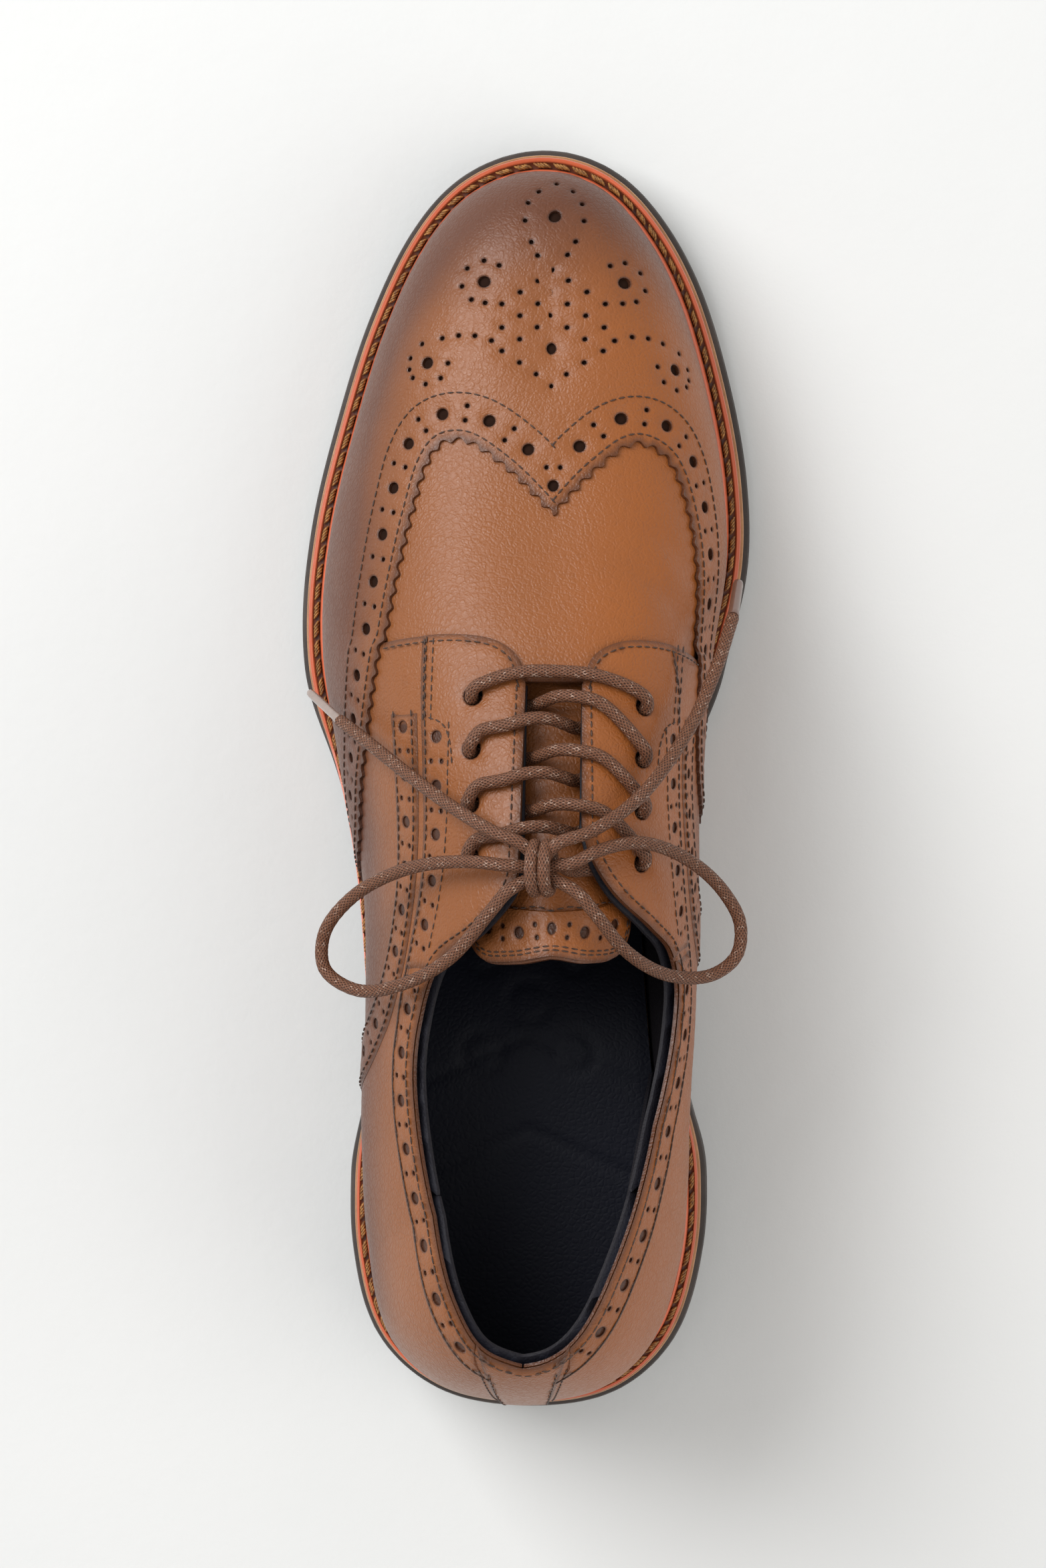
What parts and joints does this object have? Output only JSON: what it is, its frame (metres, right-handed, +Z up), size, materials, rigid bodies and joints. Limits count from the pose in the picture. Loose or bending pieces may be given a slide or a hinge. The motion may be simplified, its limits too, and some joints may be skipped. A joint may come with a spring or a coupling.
{
  "type": "brogue derby shoe",
  "caption": "Left leather shoe with wing cap brogueing, open lacing tied in a bow, storm welt, stacked heel and a hinged tongue.",
  "frame": {"origin": "on the ground under the middle of the shoe, at the centre of its bounding box", "axes": "+Z up from the ground, +Y towards the toe, +X towards the medial (inner) side of this left shoe"},
  "size_m": [0.1084, 0.3021, 0.1067],
  "materials": {
    "upper_leather": "tan calf leather, burnished, satin",
    "upper_leather_dark": "tan calf leather burnished darker, satin",
    "lining": "navy lining leather, matte",
    "stiffener": "pressed fibre board, matte",
    "brass": "dull brass",
    "insole_leather": "raw vegetable-tanned leather, matte",
    "cushion": "foam pad, matte",
    "sock": "near-black navy sock leather, matte",
    "cork": "granulated cork",
    "steel": "spring steel",
    "welt": "orange-red welt leather, waxed",
    "midsole": "light tan leather edge, waxed",
    "outsole": "dark brown rubber, matte",
    "heel_lift": "dark stacked leather, waxed",
    "top_piece": "black-brown rubber, matte",
    "lace": "waxed braided cotton, brown",
    "clear_film": "clear film over the braid",
    "brown_film": "brown film"
  },
  "bodies": {
    "shoe": {"wing_cap": "upper_leather_dark", "vamp": "upper_leather", "toe_puff": "stiffener", "heel_counter": "stiffener", "heel_strip": "upper_leather_dark", "vamp_lining": "lining", "heel_lining": "lining", "quarter_lateral": "upper_leather", "eyestay_lateral": "upper_leather", "collar_band_lateral": "upper_leather", "side_band_lateral": "upper_leather", "quarter_lining_lateral": "lining", "eyelet_lateral_1": "brass", "eyelet_lateral_2": "brass", "eyelet_lateral_3": "brass", "eyelet_lateral_4": "brass", "quarter_medial": "upper_leather", "eyestay_medial": "upper_leather", "collar_band_medial": "upper_leather", "side_band_medial": "upper_leather", "quarter_lining_medial": "lining", "eyelet_medial_1": "brass", "eyelet_medial_2": "brass", "eyelet_medial_3": "brass", "eyelet_medial_4": "brass", "insole_board": "insole_leather", "foot_cushion": "cushion", "sock_liner": "sock", "cork_filler": "cork", "shank": "steel", "welt": "welt", "midsole": "midsole", "outsole": "outsole", "heel_lift_1": "heel_lift", "heel_lift_2": "heel_lift", "heel_lift_3": "heel_lift", "heel_top_piece": "top_piece", "heel_nail_1": "brass", "heel_nail_2": "brass", "heel_nail_3": "brass", "heel_nail_4": "brass", "lacing": "lace", "knot": "lace", "loop_lateral": "lace", "loop_medial": "lace", "tail_lateral": "lace", "tail_medial": "lace", "aglet_lateral": "clear_film", "aglet_medial": "brown_film"},
    "tongue": {"tongue": "upper_leather", "tongue_facing": "upper_leather", "tongue_lining": "lining"}
  },
  "joints": [
    {"name": "tongue_fold", "type": "hinge", "parent": "shoe", "child": "tongue", "pos_m": [0.0098, 0.036, 0.0615], "axis": [1, 0, 0], "range_deg": [0, 20], "stiffness_Nm_per_rad": 0.5}
  ]
}
